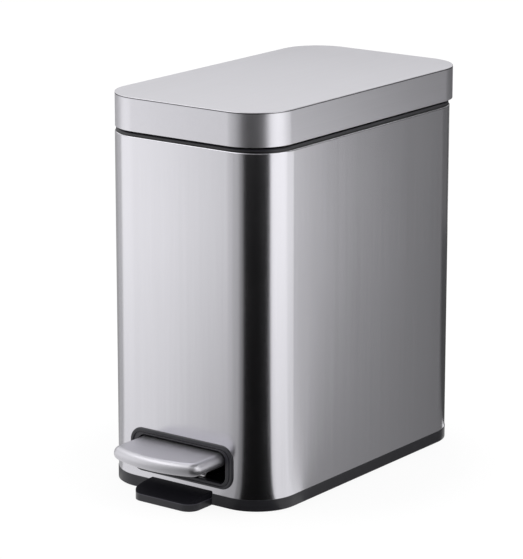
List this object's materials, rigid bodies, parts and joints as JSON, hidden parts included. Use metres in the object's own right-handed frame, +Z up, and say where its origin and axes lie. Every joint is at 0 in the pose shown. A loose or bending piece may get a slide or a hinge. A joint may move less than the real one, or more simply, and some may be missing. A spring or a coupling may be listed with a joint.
{
  "type": "slim rectangular step bin",
  "caption": "Slim rectangular pedal bin: brushed steel sleeve, flat hinged steel lid, front pedal with lever and push rod, and a hanging plastic bucket.",
  "frame": {"origin": "on the floor, under the middle of the overall box (pedal tip to lid rear edge)", "axes": "+Z up, -Y towards the person who treads on the pedal, +X to the right seen from the pedal side"},
  "size_m": [0.1578, 0.3096, 0.3],
  "materials": {
    "sleeve_steel": "vertically brushed stainless sheet",
    "lid_steel": "brushed stainless sheet",
    "pedal_steel": "satin stainless sheet",
    "plated_steel": "zinc-plated steel",
    "bright_wire": "bright drawn wire",
    "black_plastic": "fine-grained black moulding",
    "grey_plastic": "dark grey moulding",
    "white_nylon": "plain nylon",
    "black_rubber": "soft rubber"
  },
  "bodies": {
    "housing": {"outer_shell": "sleeve_steel", "top_ring": "black_plastic", "base": "black_plastic", "rubber_feet": "black_rubber", "pedal_bezel": "black_plastic", "pedal_pivot_pin": "plated_steel", "pivot_caps": "black_plastic", "pivot_screws": "plated_steel", "damper_cylinder": "grey_plastic", "hinge_pins": "plated_steel"},
    "lid": {"lid_shell": "lid_steel", "lid_liner": "black_plastic", "lid_bumpers": "black_rubber"},
    "pedal": {"pedal_cap": "pedal_steel", "pedal_core": "black_plastic", "pedal_lever": "plated_steel", "pivot_bushings": "white_nylon"},
    "push_rod": {"push_rod": "bright_wire", "rod_clips": "plated_steel"},
    "plunger": {"damper_plunger": "white_nylon"},
    "bucket": {"inner_bucket": "grey_plastic"}
  },
  "joints": [
    {"name": "lid_open", "type": "hinge", "parent": "housing", "child": "lid", "pos_m": [0, 0.14325, 0.268], "axis": [-1, 0, 0], "range_deg": [0, 80]},
    {"name": "pedal_press", "type": "hinge", "parent": "housing", "child": "pedal", "pos_m": [0, -0.01475, 0.023], "axis": [1, 0, 0], "range_deg": [0, 7.53]},
    {"name": "rod_swing", "type": "hinge", "parent": "lid", "child": "push_rod", "pos_m": [0, 0.13176, 0.25836], "axis": [1, 0, 0], "range_deg": [0, 80]},
    {"name": "damper_stroke", "type": "slide", "parent": "housing", "child": "plunger", "axis": [0, 0, 1], "range_m": [0, 0.00827]},
    {"name": "bucket_lift", "type": "slide", "parent": "housing", "child": "bucket", "axis": [0, 0, 1], "range_m": [0, 0.008]}
  ],
  "couplings": [
    {"joint": "pedal_press", "follows": "lid_open", "ratio": 0.094124},
    {"joint": "rod_swing", "follows": "lid_open", "ratio": 1},
    {"joint": "damper_stroke", "follows": "lid_open", "m_per_rad": 0.0059229}
  ]
}
